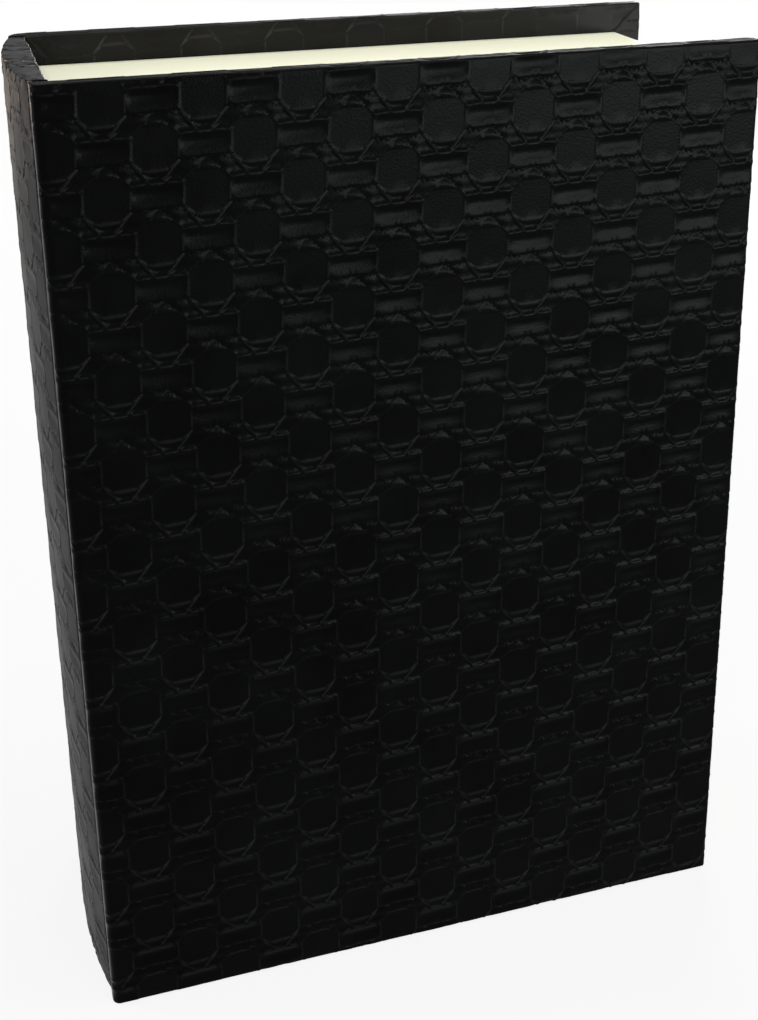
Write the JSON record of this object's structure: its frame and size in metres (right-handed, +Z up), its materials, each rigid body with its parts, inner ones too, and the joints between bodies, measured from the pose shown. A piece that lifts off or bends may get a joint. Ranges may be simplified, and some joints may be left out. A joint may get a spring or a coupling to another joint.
{
  "type": "book-shaped box",
  "caption": "Storage box in the form of a closed hardcover book: a lined tray hidden behind a hinged, leather-look front cover with a magnetic catch.",
  "frame": {"origin": "centre of the bounding box's bottom, on the surface that the box stands on", "axes": "+Z up along the spine, from tail to head; +X from the spine to the fore edge; -Y out of the front cover, +Y out of the back cover"},
  "size_m": [0.1958, 0.08, 0.27],
  "materials": {
    "black_leather": "black leather-look covering, embossed with a weave of octagons and straps, soft sheen",
    "lining_cloth": "black suede-like lining sheet",
    "wood_board": "raw fibreboard, hidden by the coverings",
    "grey_card": "grey levelling card, hidden",
    "cream_pages": "smooth cream card",
    "black_felt": "black felt",
    "magnet_nickel": "nickel-plated"
  },
  "bodies": {
    "case": {"spine_leather": "black_leather", "back_leather": "black_leather", "hinge_leather": "black_leather", "spine_hinge_flap": "black_leather", "back_board": "wood_board", "spine_strip": "wood_board", "tray_floor": "wood_board", "head_wall": "wood_board", "tail_wall": "wood_board", "fore_edge_wall": "wood_board", "spine_wall": "wood_board", "spine_infill": "grey_card", "back_infill": "grey_card", "head_pages": "cream_pages", "tail_pages": "cream_pages", "fore_edge_pages": "cream_pages", "rim_card": "cream_pages", "floor_felt": "black_felt", "head_felt": "black_felt", "tail_felt": "black_felt", "fore_edge_felt": "black_felt", "spine_felt": "black_felt", "tray_magnets": "magnet_nickel"},
    "front_cover": {"front_board": "wood_board", "front_leather": "black_leather", "front_infill": "grey_card", "front_hinge_flap": "black_leather", "front_lining": "lining_cloth", "cover_magnets": "magnet_nickel"}
  },
  "joints": [
    {"name": "cover_hinge", "type": "hinge", "parent": "case", "child": "front_cover", "pos_m": [-0.0949, -0.0341, 0.135], "axis": [0, 0, -1], "range_deg": [0, 175], "deforming": ["hinge_leather"]}
  ]
}
